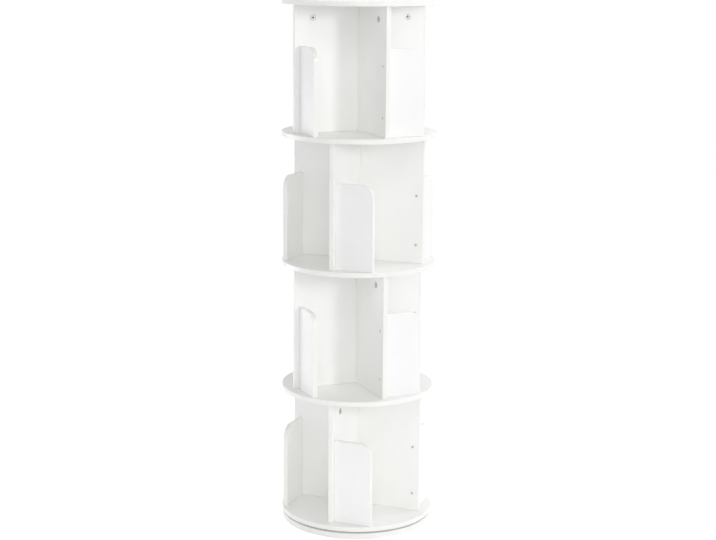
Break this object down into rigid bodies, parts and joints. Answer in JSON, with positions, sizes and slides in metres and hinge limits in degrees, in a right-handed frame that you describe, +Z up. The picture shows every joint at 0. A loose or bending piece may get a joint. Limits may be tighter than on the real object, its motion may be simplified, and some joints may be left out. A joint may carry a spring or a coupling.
{
  "type": "revolving bookcase",
  "caption": "Tall round revolving bookcase: round shelves, crossed upright panels turned by an eighth from tier to tier, half-height stoppers, on a base with a ring bearing.",
  "frame": {"origin": "on the turning axis, at the underside of the base board", "axes": "+Z up along the turning axis; -Y along the front panel of the top tier"},
  "size_m": [0.4, 0.4, 1.377],
  "materials": {
    "white_melamine": "satin white melamine-faced board with white edge banding",
    "galvanised_steel": "zinc-plated pressed steel",
    "cast_zinc": "die-cast zinc, dull grey"
  },
  "bodies": {
    "base": {"base_board": "white_melamine", "bearing_lower_ring": "galvanised_steel", "pivot_bolt": "galvanised_steel", "pivot_washer": "galvanised_steel", "pivot_nut": "galvanised_steel"},
    "ball_cage": {"bearing_ball_cage": "galvanised_steel"},
    "tower": {"bearing_upper_ring": "galvanised_steel", "shelf_1": "white_melamine", "shelf_2": "white_melamine", "shelf_3": "white_melamine", "shelf_4": "white_melamine", "top_board": "white_melamine", "tier1_panel_wide": "white_melamine", "tier1_panel_front_left": "white_melamine", "tier1_panel_back_right": "white_melamine", "tier1_stopper_front_left": "white_melamine", "tier1_stopper_front_right": "white_melamine", "tier1_stopper_back_right": "white_melamine", "tier1_stopper_back_left": "white_melamine", "tier1_cam_front_left": "cast_zinc", "tier1_cam_front_right": "cast_zinc", "tier1_cam_back_right": "cast_zinc", "tier1_cam_back_left": "cast_zinc", "tier2_panel_wide": "white_melamine", "tier2_panel_front": "white_melamine", "tier2_panel_back": "white_melamine", "tier2_stopper_front": "white_melamine", "tier2_stopper_right": "white_melamine", "tier2_stopper_back": "white_melamine", "tier2_stopper_left": "white_melamine", "tier2_cam_front": "cast_zinc", "tier2_cam_right": "cast_zinc", "tier2_cam_back": "cast_zinc", "tier2_cam_left": "cast_zinc", "tier3_panel_wide": "white_melamine", "tier3_panel_front_left": "white_melamine", "tier3_panel_back_right": "white_melamine", "tier3_stopper_front_left": "white_melamine", "tier3_stopper_front_right": "white_melamine", "tier3_stopper_back_right": "white_melamine", "tier3_stopper_back_left": "white_melamine", "tier3_cam_front_left": "cast_zinc", "tier3_cam_front_right": "cast_zinc", "tier3_cam_back_right": "cast_zinc", "tier3_cam_back_left": "cast_zinc", "tier4_panel_wide": "white_melamine", "tier4_panel_front": "white_melamine", "tier4_panel_back": "white_melamine", "tier4_stopper_front": "white_melamine", "tier4_stopper_right": "white_melamine", "tier4_stopper_back": "white_melamine", "tier4_stopper_left": "white_melamine", "tier4_cam_front": "cast_zinc", "tier4_cam_right": "cast_zinc", "tier4_cam_back": "cast_zinc", "tier4_cam_left": "cast_zinc"}
  },
  "joints": [
    {"name": "tower_turn", "type": "hinge", "parent": "base", "child": "tower", "pos_m": [0, 0, 0.018], "axis": [0, 0, 1], "continuous": true},
    {"name": "cage_turn", "type": "hinge", "parent": "base", "child": "ball_cage", "pos_m": [0, 0, 0.018], "axis": [0, 0, 1], "continuous": true}
  ],
  "couplings": [
    {"joint": "cage_turn", "follows": "tower_turn", "ratio": 0.5}
  ]
}
